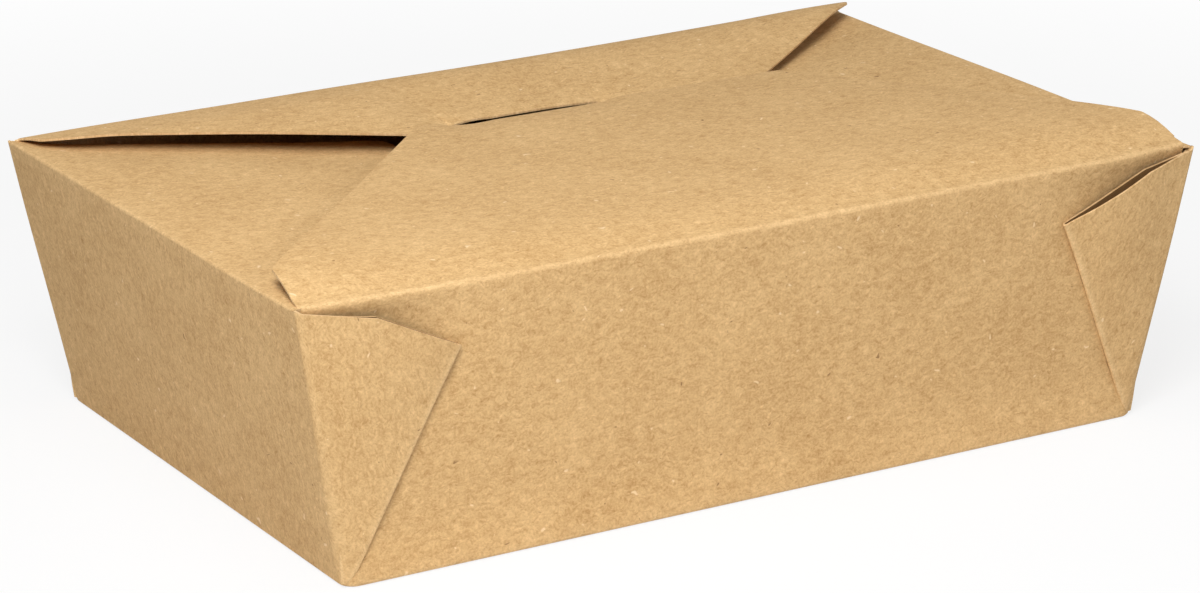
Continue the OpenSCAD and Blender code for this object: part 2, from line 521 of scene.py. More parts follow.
class Shader:
    """Node tree of one material, built from expressions."""

    def __init__(self, tree: bpy.types.NodeTree) -> None:
        """Starts with an empty tree."""
        self.tree = tree
        tree.nodes.clear()

    def node(self, kind: str, settings: Settings, inputs: Inputs) -> bpy.types.Node:
        """Adds a node.

        Args:
            kind: Type of the node.
            settings: Properties, which are set first.
            inputs: Values or links of its sockets, by name or number.

        Returns:
            The node.
        """
        made = self.tree.nodes.new(kind)
        for key, value in settings.items():
            setattr(made, key, value)
        for key, value in inputs.items():
            if isinstance(value, Signal):
                value = value.socket
            if isinstance(value, Socket):
                self.tree.links.new(value, made.inputs[key])
            else:
                made.inputs[key].default_value = value
        return made

    def value(self, kind: str, settings: Settings, inputs: Inputs, out: int | str = 0) -> Signal:
        """Adds a node and returns one of its outputs as a signal."""
        return Signal(self, self.node(kind, settings, inputs).outputs[out])

    def vector(self, operation: str, inputs: Inputs) -> Socket:
        """Adds a Vector Math node and returns its vector."""
        return self.node("ShaderNodeVectorMath", {"operation": operation}, inputs).outputs[0]

    def background(self, strength: float) -> Socket:
        """Adds a white Background node of a strength."""
        return self.node("ShaderNodeBackground", {}, {"Color": WHITE, "Strength": strength}).outputs[0]

    def shared(self, factor: Signal, a: Socket, b: Socket) -> Socket:
        """Mixes two shaders, with the second one's share as the factor."""
        return self.node("ShaderNodeMixShader", {}, {0: factor, 1: a, 2: b}).outputs[0]

    def colour(self, factor: Signal | float, a: object, b: object) -> Socket:
        """Mixes two colours.

        Args:
            factor: Share of the second colour.
            a: First colour.
            b: Second colour.

        Returns:
            The mixed colour.
        """
        settings = {"data_type": "RGBA", "blend_type": "MIX", "clamp_factor": True}
        return self.node("ShaderNodeMix", settings, {0: factor, 6: a, 7: b}).outputs[2]

    def noise(self, place: Socket, scale: float, detail: float = 2.0, roughness: float = 0.55) -> Signal:
        """Cloudy pattern, from 0 to 1, with its middle at 0.5."""
        settings = {"noise_dimensions": "2D"}
        inputs = {"Vector": place, "Scale": scale, "Detail": detail, "Roughness": roughness}
        return self.value("ShaderNodeTexNoise", settings, inputs, "Fac")

    def moved(self, place: Socket, shift: tuple[float, float], turn: float = 0.0,
              stretch: tuple[float, float] = (1.0, 1.0)) -> Socket:
        """Shifts, turns and stretches the places of a pattern.

        Args:
            place: The places.
            shift: Shift in millimetres.
            turn: Turn in degrees, before the stretch.
            stretch: Factors along and across.

        Returns:
            The new places.
        """
        turned = self.node(
            "ShaderNodeMapping",
            {"vector_type": "POINT"},
            {"Vector": place, "Location": (*shift, 0.0), "Rotation": (0.0, 0.0, math.radians(turn))},
        ).outputs[0]
        return self.vector("MULTIPLY", {0: turned, 1: (*stretch, 1.0)})


@dataclass(frozen=True)
class KraftFinish:
    """Unbleached paperboard with visible fibres, flecks and worn creases, and a painted shade deep in folds.

    Attributes:
        name: Name of the material.
        dark: Colour of the darkest pulp.
        light: Colour of the lightest pulp.
        worn: Colour of the fibres that open on a crease.
        fleck: Colour of bark flecks.
        bright: Colour of pale fibres.
        roughness: Roughness of the face.
        specular: Strength of its gloss.
        coat: Strength of a clear lining.
        relief: Height of the fibres, in millimetres.
        painted_shade: Colour of the shade painted deep in a fold, where the wear is below 0.
        painted_shade_share: How far the board takes that painted shade.
    """

    name: str
    dark: Colour = srgb(168, 128, 76)
    light: Colour = srgb(227, 191, 138)
    worn: Colour = srgb(236, 205, 158)
    fleck: Colour = srgb(120, 84, 48)
    bright: Colour = srgb(246, 222, 182)
    roughness: float = 0.82
    specular: float = 0.28
    coat: float = 0.0
    relief: float = 0.02
    painted_shade: Colour = srgb(86, 54, 18)
    painted_shade_share: float = 0.85

    def strands(self, shader: Shader, place: Socket, turn: float, seed: float, fineness: float) -> Signal:
        """Short curved fibres in one main direction.

        Args:
            shader: The shader.
            place: Places on the flat board, in millimetres.
            turn: Main direction in degrees.
            seed: Shift that makes this set its own.
            fineness: Fibres for each millimetre.

        Returns:
            1 on a fibre and 0 beside it.
        """
        spots = shader.moved(place, (seed, seed * 0.7), turn, (0.22, 1.0))
        return shader.noise(spots, fineness, 1.0, 0.5).step(0.6, 0.74)

    def flecks(self, shader: Shader, place: Socket, seed: float, every: float, size: float) -> Signal:
        """Scattered flecks, one at most in each cell.

        Args:
            shader: The shader.
            place: Places on the flat board, in millimetres.
            seed: Shift that makes this set its own.
            every: Size of a cell, in millimetres.
            size: Radius of the largest fleck, in millimetres.

        Returns:
            1 on a fleck and 0 beside it.
        """
        spots = shader.moved(place, (seed, -seed), seed, (0.75, 1.0))
        settings, inputs = {"voronoi_dimensions": "2D"}, {"Vector": spots, "Scale": 1 / every}
        cells = shader.node("ShaderNodeTexVoronoi", settings, inputs)
        chance = shader.value("ShaderNodeSeparateColor", {}, {0: cells.outputs["Color"]})
        away = Signal(shader, cells.outputs["Distance"]) * every
        reach = (chance - 0.45) * (size / 0.55)
        return (reach - away).step(-0.03, 0.12)

    def build(self) -> bpy.types.Material:
        """Makes the material.

        Returns:
            The material.
        """
        material = bpy.data.materials.new(self.name)
        material.use_nodes = True
        shader = Shader(material.node_tree)
        flat = shader.node("ShaderNodeUVMap", {"uv_map": "blank"}, {}).outputs[0]
        scaled = shader.vector("SCALE", {0: flat, "Scale": UV_MM})
        bend = shader.node(
            "ShaderNodeTexNoise", {"noise_dimensions": "2D"}, {"Vector": scaled, "Scale": 0.35, "Detail": 1.0}
        ).outputs["Color"]
        drift = shader.vector("MULTIPLY_ADD", {0: bend, 1: (2.6, 2.6, 0.0), 2: scaled})
        cloud = shader.noise(scaled, 0.05, 2.0)
        blotch = shader.noise(scaled, 0.42, 3.0, 0.65)
        grain = shader.noise(scaled, 1.7, 3.0, 0.68)
        pale = self.strands(shader, drift, 8, 11.0, 2.3) + self.strands(shader, drift, -38, 43.0, 2.0)
        deep = self.strands(shader, drift, -14, 71.0, 2.2) + self.strands(shader, drift, 42, 97.0, 1.9)
        streak = shader.noise(shader.moved(drift, (31.0, 17.0), 0, (0.32, 1.0)), 1.05, 2.0, 0.6)
        wear = shader.value("ShaderNodeAttribute", {"attribute_name": "wear"}, {}, "Fac")
        fine = (grain - 0.5) * 0.85 + (streak - 0.5) * 0.55 + pale * 0.11 - deep * 0.13
        tone = 0.5 + (cloud - 0.5) * 0.28 + (blotch - 0.5) * 0.5 + fine
        pulp = shader.colour(tone, self.dark, self.light)
        opened = shader.colour(wear * (grain * 0.6 - 0.02), pulp, self.worn)
        specks = self.flecks(shader, drift, 5.0, 9.5, 0.32) * 0.7
        specks += self.flecks(shader, drift, 61.0, 4.5, 0.2) * 0.45
        barked = shader.colour(specks, opened, self.fleck)
        pale_flecked = shader.colour(self.flecks(shader, drift, 23.0, 7.0, 0.42) * 0.45, barked, self.bright)
        # Painted shade: where the wear attribute is below 0, the colour turns to a dark brown that stands for
        # shade deep in a fold.
        sunk = shader.colour((wear * -1).step(0.0, 1.0) * self.painted_shade_share, pale_flecked, self.painted_shade)
        relief = grain * 0.6 + pale * 0.35 - deep * 0.25 + blotch * 0.8
        inputs = {"Strength": 0.6, "Distance": self.relief * MM * 4, "Height": relief}
        bump = shader.node("ShaderNodeBump", {}, inputs)
        surface = shader.node(
            "ShaderNodeBsdfPrincipled",
            {},
            {
                "Base Color": sunk,
                "Roughness": self.roughness + (grain - 0.5) * 0.12,
                "Specular IOR Level": self.specular,
                "Coat Weight": self.coat,
                "Coat Roughness": 0.3,
                "Normal": bump.outputs[0],
            },
        )
        shader.node("ShaderNodeOutputMaterial", {}, {"Surface": surface.outputs[0]})
        return material


@dataclass(frozen=True)
class BoardFinish:
    """The three materials that every sheet of the box shares."""

    outside: KraftFinish = KraftFinish("kraft_outside")
    lining: KraftFinish = KraftFinish("kraft_lining", roughness=0.55, specular=0.4, coat=0.12, relief=0.01)
    cut_edge: KraftFinish = KraftFinish(
        "kraft_cut_edge",
        dark=srgb(176, 139, 92),
        light=srgb(232, 199, 152),
        roughness=0.9,
        specular=0.15,
        painted_shade_share=0.25,
    )

    def build(self) -> list[bpy.types.Material]:
        """Makes the materials in the order of BoardFace."""
        return [self.outside.build(), self.lining.build(), self.cut_edge.build()]


# --- the folded form ---------------------------------------------------------


@dataclass(frozen=True)
class FlapSizes:
    """Sizes of the two long flaps and the tongue, in millimetres."""

    slit_y: float = 31.742
    front_d: float = 101.0
    front_shoulder_d: float = 15.6
    front_shoulder_left: float = 106.4
    front_shoulder_right: float = 108.1
    front_fold_right: float = 107.8
    front_free_left: float = 28.0
    front_free_right: float = 66.0
    back_d: float = 51.516
    back_shoulder_d: float = 7.0
    back_shoulder_left: float = 105.6
    back_shoulder_right: float = 107.4
    back_free_left: float = 14.0
    back_free_right: float = 44.0
    shoulder_radius: float = 3.0
    tongue_half: float = 19.0
    tongue_drop: float = 7.5
    tongue_radius: float = 4.0
    slit_air: float = 0.3
    slit_front_air: float = 0.65
    slit_back_air: float = 0.55


@dataclass(frozen=True)
class BoxForm:
    """Faces of the closed box, with the slight bows and waves of real board.

    Attributes:
        box: Sizes of the box.
        flaps: Sizes of its long flaps.
        foot_inset: How far the foot of a long wall lies behind the webs.
        tuck: How far a long wall pulls in behind a web, under the fold.
        wall_bulge: How far the middle of a long wall stands out at the top.
        wall_pinch: How far its upper corners are held in.
        end_bulge: How far the middle of an end wall stands out.
        front_sink: How far the front fold sinks in its middle and on its left.
        back_rise: How far the back fold rises towards the right.
        back_sag: How far the back flap falls from its fold to its free edge.
        back_bow: Height of the back flap's bow.
        front_bows: Heights of the front flap's bow at places along the box.
        front_seat: Height of the front flap's top over the back flap's at the slit.
        dip: How far the tongue presses the board down at the slit.
        edge_rise: How far the front flap's left edge stands up.
        wave: Height of the board's waves.
        wave_length: Length of the waves.
        seam_z: Height on the front wall where the front fold's own piece starts.
        seam_d: Distance behind the fold where that piece ends.
    """

    box: BoxSizes = field(default_factory=BoxSizes)
    flaps: FlapSizes = field(default_factory=FlapSizes)
    foot_inset: float = 0.35
    tuck: float = 1.25
    wall_bulge: float = 0.5
    wall_pinch: float = 0.75
    end_bulge: float = 0.5
    front_sink: float = 0.45
    back_rise: float = 1.35
    back_sag: float = 2.9
    back_bow: float = 2.0
    front_bows: tuple[tuple[float, float], ...] = (
        (-108, 3.5), (-60, 2.5), (0, 2.0), (50, 3.0), (84, 4.0), (108, 3.6),
    )
    front_seat: float = 0.62
    dip: float = 0.75
    edge_rise: float = 0.5
    wave: float = 0.22
    wave_length: float = 48.0
    seam_z: float = 58.0
    seam_d: float = 3.5

    def settled(self, x: float, y: float, z: float) -> Vector:
        """Moves a point by the board's waves, which fade towards the table."""
        point = Vector((x, y, z))
        lift = self.wave * min(1.0, max(0.0, z) / 12)
        return point + noise.noise_vector(point / self.wave_length) * lift

    def bow(self, u: float) -> float:
        """Bow of a sheet that springs up next to its fold and runs down to its free edge."""
        return 1.5 * (1 - u) * u * u / (u * u + 0.0081)

    def long_wall(self, face: Face, x: float, z: float) -> Vector:
        """Point of the outer face of the front or back wall.

        Args:
            face: Which wall.
            x: Place along the wall.
            z: Height.

        Returns:
            The point.
        """
        h, side = z / self.box.height, abs(x) / self.box.flap_half_l
        foot = (self.box.wall_inset - self.foot_inset) * (1 - smooth(-6, 13, z)) * 2
        tuck = self.tuck * smooth(62, 55, z) * smooth(34, 50, z) * smooth(64, 92, abs(x))
        bulge = self.wall_bulge * h * (1 - side**2) - self.wall_pinch * h * h * side**10
        y = self.box.half_w(z) - self.box.wall_inset + foot + bulge - tuck - self.wrap(abs(x), z)
        if face is Face.FRONT:
            sink = self.front_sink * h
            rise = 0.15 * h * h * smooth(85, 108, x) - sink * (1 - side**2) - sink * smooth(40, -108, x)
        else:
            rise = self.back_rise * h * h * smooth(10, 108, x)
        return self.settled(x, face.value * y, z + rise)

    def wrap(self, x: float, z: float) -> float:
        """How far the foot of a long wall turns in behind the upright corner."""
        radius = self.box.corner_radius(z)
        inner = radius - self.foot_inset
        over = min(0.985 * inner, max(0.0, x - (self.box.half_l(z) - radius)))
        return (inner - math.sqrt(inner**2 - over**2)) * (1 - smooth(3, 16, z))

    def front_flap(self, x: float, d: float) -> Vector:
        """Point of the top of the front flap, at distance d from its fold."""
        box, flaps = self.box, self.flaps
        u = d / flaps.front_d
        fold = self.long_wall(Face.FRONT, x, box.height)
        height = eased(x, self.front_bows)
        free = Vector((x, flaps.slit_y, self.back_top(flaps.slit_y) + self.front_seat))
        bowed = fold.lerp(free, u)
        dip = self.dip * smooth(24, 19.5, abs(x)) * smooth(flaps.front_d - 10, flaps.front_d, d)
        pulled = 0.6 * self.lens(x) * smooth(flaps.front_d - 6, flaps.front_d, d)
        edge = flaps.front_shoulder_left + (flaps.front_free_left - flaps.front_shoulder_left) * u
        raised = self.edge_rise * smooth(edge - 16, edge, -x) * smooth(0.06, 0.3, u)
        return Vector((x, bowed.y - pulled, bowed.z + height * self.bow(max(0.0, u)) - dip + raised))

    def lens(self, x: float) -> float:
        """Opening of the slit where the tongue pulls at its left end, from 0 to 1."""
        return math.sin(math.pi * min(1.0, max(0.0, (x + 19.5) / 10.5)))

    def back_top(self, y: float) -> float:
        """Height of the top of the back flap."""
        u = (self.box.fold_y - y) / self.flaps.back_d
        return self.box.height - self.back_sag * u + self.back_bow * self.bow(u)

    def back_flap(self, x: float, d: float) -> Vector:
        """Point of the top of the back flap, at distance d from its fold."""
        box, u = self.box, d / self.flaps.back_d
        fold = self.long_wall(Face.BACK, x, box.height)
        y = box.fold_y - d
        lift = (1.05 * smooth(0.1, 0.6, u) + 0.7 * smooth(0.15, 0.3, u)) * smooth(-18, -34, x)
        lift -= 0.65 * smooth(0, 0.14, u) * smooth(0, -100, x)
        lift += 0.9 * self.bow(u) * smooth(60, 108, x) + self.slit_lips(x, y)
        z = fold.z + (self.back_top(y) - box.height) - (fold.z - box.height) * smooth(0, 0.7, u) + lift
        return Vector((x, fold.y + (box.fold_y - fold.y) * u - d, z))

    def slit_lips(self, x: float, y: float) -> float:
        """Height that the tongue presses the back flap down in front of the slit, and lifts it behind.

        Args:
            x: Place along the slit.
            y: Place across it.

        Returns:
            The change of height.
        """
        slit, half = self.flaps.slit_y, self.flaps.tongue_half + self.flaps.slit_air
        pressed = -self.dip * smooth(26, 20, abs(x))
        pressed = pressed * smooth(slit - 15, slit - 4, y) * smooth(slit + 8, slit, y)
        if y <= slit or abs(x) >= half:
            return pressed
        inside = (1 - (x / half) ** 2) ** 0.35
        return pressed + (self.dip + 0.12 + 0.35 * self.lens(x)) * inside * smooth(slit + 9, slit + 0.7, y)

    def ring(self, side: Side, across: float, inset: float, z: float) -> Vector:
        """Point of the outer skin that runs round an end wall and both its corners.

        Args:
            side: Which end.
            across: Place from the middle of the end wall towards the back.
            inset: Distance in from the skin, for the crease round the base.
            z: Height.

        Returns:
            The point.
        """
        box = self.box
        half_l, half_w = box.half_l(z) - inset, box.half_w(z) - inset
        radius = max(box.corner_radius(z) - inset, 0.3)
        way = abs(across)
        if way <= END_FLAT:
            x, y = half_l, way / END_FLAT * (half_w - radius)
            x += self.end_bulge * math.sin(math.pi * min(1.0, z / box.height)) * (1 - (way / END_FLAT) ** 2)
        elif way <= END_FLAT + END_ARC:
            turn = (way - END_FLAT) / END_ARC * math.pi / 2
            x, y = half_l - radius + radius * math.cos(turn), half_w - radius + radius * math.sin(turn)
        else:
            x, y = half_l - radius - (way - END_FLAT - END_ARC), half_w
        return self.settled(side.value * x, math.copysign(y, across), z)


# --- the pieces --------------------------------------------------------------


@dataclass
class Piece:
    """Part of the box that is one mesh.

    Attributes:
        form: The folded form.
        materials: Materials in the order of BoardFace.
    """

    form: BoxForm
    materials: Sequence[bpy.types.Material]

    def dress(self, blank: Blank, name: str, slot: str) -> bpy.types.Object:
        """Finishes the sheet.

        Args:
            blank: The folded sheet.
            name: Name of the piece.
            slot: Name of a material slot; not used.

        Returns:
            The piece.
        """
        piece = blank.finish(name, self.form.box.board, self.materials)
        return piece


@dataclass
class LongStrip(Piece):
    """Front wall, base, back wall and back flap, folded from one strip.

    Attributes:
        base_half: Half the length of the base between its end folds.
        base_arch: How far the middle of the base arches off the table.
        fold_margin: How far a cut runs past a fold of the base.
        end_rows: Columns that are close together at each end, half a millimetre apart.
    """

    base_half: float = 97.0
    base_arch: float = 0.35
    fold_margin: float = 1.1
    end_rows: int = 9

    def run(self) -> FoldedRun:
        """Panels from the free edge of the back flap round to the top of the front wall."""
        form, box, flaps = self.form, self.form.box, self.form.flaps
        wall, foot = box.long_reach, box.half_w(0) - box.wall_inset
        front = wall * form.seam_z / box.height
        return FoldedRun(
            panels=(
                Panel(flaps.back_d, lambda x, t: form.back_flap(x, flaps.back_d - t)),
                Panel(wall, lambda x, t: form.long_wall(Face.BACK, x, box.height * (1 - t / wall))),
                Panel(2 * foot, lambda x, t: self.base(x, foot - t, foot)),
                Panel(front, lambda x, t: form.long_wall(Face.FRONT, x, box.height * t / wall)),
            ),
            softness=(1.5, 1.1, 1.1),
        )

    def base(self, x: float, y: float, foot: float) -> Vector:
        """Point of the underside of the base, which arches a little off the table."""
        edge = self.form.long_wall(Face.FRONT if y < 0 else Face.BACK, x, 0.0)
        arch = self.base_arch * (1 - (y / foot) ** 2) * (1 - (x / self.base_half) ** 2)
        return Vector((x, y * abs(edge.y) / foot, edge.z + arch))

    def build(self) -> bpy.types.Object:
        """Cuts, folds and places the strip."""
        box, flaps, run = self.form.box, self.form.flaps, self.run()
        d, grid, creases = flaps.back_d, box.board.grid, run.creases
        hole_a = d - (box.fold_y - (flaps.slit_y - box.board.thickness - flaps.slit_front_air))
        hole_b = d - (box.fold_y - (flaps.slit_y + flaps.slit_back_air))
        half = flaps.tongue_half + flaps.slit_air
        lips = [half, half - 0.2, half - 0.6, half - 1.4]
        ends = [x for i in range(self.end_rows) for x in (-99 + 0.5 * i, 99 - 0.5 * i)]
        fine = evenly(-half, SLIT_FINE_END, 1.0)
        across = sorted({*evenly(-HALF_SPAN, HALF_SPAN, grid), *lips, *(-x for x in lips), *fine, *ends})
        along = sorted({*run.rows(grid), hole_a, hole_b, hole_b + 1.0, hole_b + 2.0})
        blank = Blank(across, along)
        blank.drop(lambda c: abs(c.x) < half and hole_a < c.y < hole_b)
        shoulder, radius = d - flaps.back_shoulder_d, flaps.shoulder_radius
        blank.trim_along(
            [
                (-box.flap_half_l, creases[0] + 0.5, 0),
                (-flaps.back_shoulder_left, shoulder, radius),
                (-flaps.back_free_left, 0, radius),
                (flaps.back_free_right, 0, radius),
                (flaps.back_shoulder_right, shoulder, radius),
                (box.flap_half_l, creases[0] + 0.5, 0),
            ],
            lambda c: c.y < creases[0],
        )
        back_foot, front_foot = creases[1] + self.fold_margin, creases[2] - self.fold_margin
        top, low = box.loop_x(box.height), box.loop_x(0)
        for sign in (-1, 1):
            back = Vector((sign * top, creases[0])), Vector((sign * low, creases[1]))
            front = Vector((sign * low, creases[2])), Vector((sign * box.loop_x(self.form.seam_z), run.end))
            for (a, b), where in (
                (back, lambda c: creases[0] < c.y < back_foot),
                (front, lambda c: c.y > front_foot),
            ):
                way = (b - a).normalized()
                blank.trim(a, Vector((sign * abs(way.y), -sign * way.x)), where)
            side = Vector((sign * self.base_half, 0))
            blank.trim(side, Vector((sign, 0)), lambda c: back_foot < c.y < front_foot)
        blank.soften([run.end])
        blank.fold(run.place, lambda x, v: run.wear(v))
        piece = self.dress(blank, "long_strip", "kraft_board")
        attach(piece, "tray")
        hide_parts("tray")
        return piece


@dataclass
class FrontFold(Piece):
    """Soft crease that joins the front wall to the front flap.

    Attributes:
        softness: Half the width of the crease's curve.
        start: Place along the blank where this piece starts.
        worn_share: Share of a crease's wear that this one has.
    """

    softness: float = 1.3
    start: float = 0.0
    worn_share: float = 0.6

    def run(self) -> FoldedRun:
        """Panels just below and just behind the crease."""
        form, box = self.form, self.form.box
        wall = box.long_reach
        low = wall * form.seam_z / box.height
        return FoldedRun(
            panels=(
                Panel(wall - low, lambda x, t: form.long_wall(Face.FRONT, x, box.height * (low + t) / wall)),
                Panel(form.seam_d, form.front_flap),
            ),
            softness=(self.softness,),
            start=self.start,
        )

    def build(self) -> bpy.types.Object:
        """Cuts, folds and places the crease."""
        box, run = self.form.box, self.run()
        blank = Blank(evenly(-HALF_SPAN, HALF_SPAN, box.board.grid), run.rows(1.0))
        reach, crease = box.loop_x(self.form.seam_z), run.creases[0]
        right, left = self.form.flaps.front_fold_right, -box.flap_half_l
        blank.trim_along([(reach, run.start, 0), (right, crease, 0), (right, run.end, 0)])
        blank.trim_along([(left + 0.4, run.end, 0), (left, crease, 0), (-reach, run.start, 0)])
        blank.soften([run.start, run.end])
        blank.fold(run.place, lambda x, v: self.worn_share * run.wear(v))
        piece = self.dress(blank, "front_fold", "kraft_board")
        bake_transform(piece)
        return piece


@dataclass
class FrontFlap(Piece):
    """Front flap with the tongue that drops through the slit.

    Attributes:
        start: Place along the blank where this piece starts.
        softness: Half the width of the curve of the tongue's crease.
        relief_depth: Depth of the notches beside the tongue.
        torn_reach: How far the torn notch on the left runs, from its far end to its deepest place.
        torn_depth: Depth of that notch.
    """

    start: float = 0.0
    softness: float = 1.5
    relief_depth: float = 1.0
    torn_reach: tuple[float, float] = (3.6, 1.9)
    torn_depth: float = 1.3

    def run(self) -> FoldedRun:
        """Panels of the flap and of its tongue."""
        form, flaps = self.form, self.form.flaps
        return FoldedRun(
            panels=(
                Panel(flaps.front_d - form.seam_d, lambda x, t: form.front_flap(x, form.seam_d + t)),
                Panel(flaps.tongue_drop + 0.5, self.tongue),
            ),
            softness=(self.softness,),
            start=self.start,
        )

    def tongue(self, x: float, t: float) -> Vector:
        """Point of the tongue's back face, which hangs on a curve round the flap's fold."""
        box, flaps = self.form.box, self.form.flaps
        edge = self.form.front_flap(x, flaps.front_d)
        turn = (edge.z - box.height) / flaps.front_d - t / flaps.front_d
        return Vector((x, edge.y + flaps.front_d * (math.cos(turn) - 1), edge.z - t))

    def build(self) -> bpy.types.Object:
        """Cuts, folds and places the flap."""
        box, flaps, run = self.form.box, self.form.flaps, self.run()
        crease, half, gap = run.creases[0], flaps.tongue_half, flaps.slit_air
        sides, fine = (-half - gap, -half, half, half + gap), evenly(-half, SLIT_FINE_END, 1.0)
        notch, deep = crease - self.relief_depth, crease - self.torn_depth
        far, near = (-half - reach for reach in self.torn_reach)
        across = sorted({*evenly(-HALF_SPAN, HALF_SPAN, box.board.grid), *sides, *fine, far, near})
        blank = Blank(across, sorted({*run.rows(box.board.grid), crease, notch}))
        shoulder = crease - flaps.front_d + flaps.front_shoulder_d
        fold = crease - flaps.front_d
        blank.drop(lambda c: abs(c.x) > half and (c.y > crease or (abs(c.x) < half + gap and c.y > notch)))
        blank.trim_along(
            [(near, deep, 0), (far, crease + 0.05, 0)], lambda c: far < c.x < near and c.y > notch - 1
        )
        blank.trim_along(
            [(-half, crease - 0.5, 0), (near, deep, 0)], lambda c: near < c.x < -half and c.y > notch - 1
        )
        radius = flaps.shoulder_radius
        right = [
            (flaps.front_fold_right, fold, 0),
            (flaps.front_shoulder_right, shoulder, radius),
            (flaps.front_free_right, crease, radius),
            (half + 5, crease, 0),
        ]
        left = [
            (-half - 5, crease, 0),
            (-flaps.front_free_left, crease, radius),
            (-flaps.front_shoulder_left, shoulder, radius),
            (-box.flap_half_l, fold, 0),
        ]
        blank.trim_along(right, lambda c: c.x > half + 2)
        blank.trim_along(left, lambda c: c.x < -half - 2)
        blank.trim_along(
            [
                (half, crease + 0.5, 0),
                (half, run.end, flaps.tongue_radius),
                (-half, run.end, flaps.tongue_radius),
                (-half, crease + 0.5, 0),
            ],
            lambda c: c.y > crease,
        )
        blank.soften([run.start])
        blank.fold(run.place, lambda x, v: run.wear(v) if abs(x) < half else 0.0)
        piece = self.dress(blank, "front_flap_sheet", "kraft_board_flap")
        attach(piece, "front_flap")
        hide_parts("front_flap")
        return piece


@dataclass(frozen=True)
class WebShape:
    """Outline of a corner web on its long wall, in millimetres from the middle and the table.

    Attributes:
        root: Start of the diagonal fold at the base.
        tip: The web's point.
        bend: Bend of the top edge.
        lift: How far the outer layer springs off the inner one.
        stand: How far both layers stand off the wall.
    """

    root: tuple[float, float] = (97.2, 0.6)
    tip: tuple[float, float] = (75.0, 48.5)
    bend: tuple[float, float] = (95.0, 57.8)
    lift: float = 0.1
    stand: float = 0.2

    def diagonal(self, z: float) -> float:
        """Place of the diagonal fold along the wall at a height."""
        return self.root[0] + (self.tip[0] - self.root[0]) * (z - self.root[1]) / (self.tip[1] - self.root[1])

    def standing(self, share: float, z: float) -> float:
        """How far the layers stand off the wall, at a share of the way from the corner to the diagonal."""
        return self.stand * smooth(0, 0.35, share) * (1 - smooth(0.75, 1, share)) * smooth(20, 56, z)


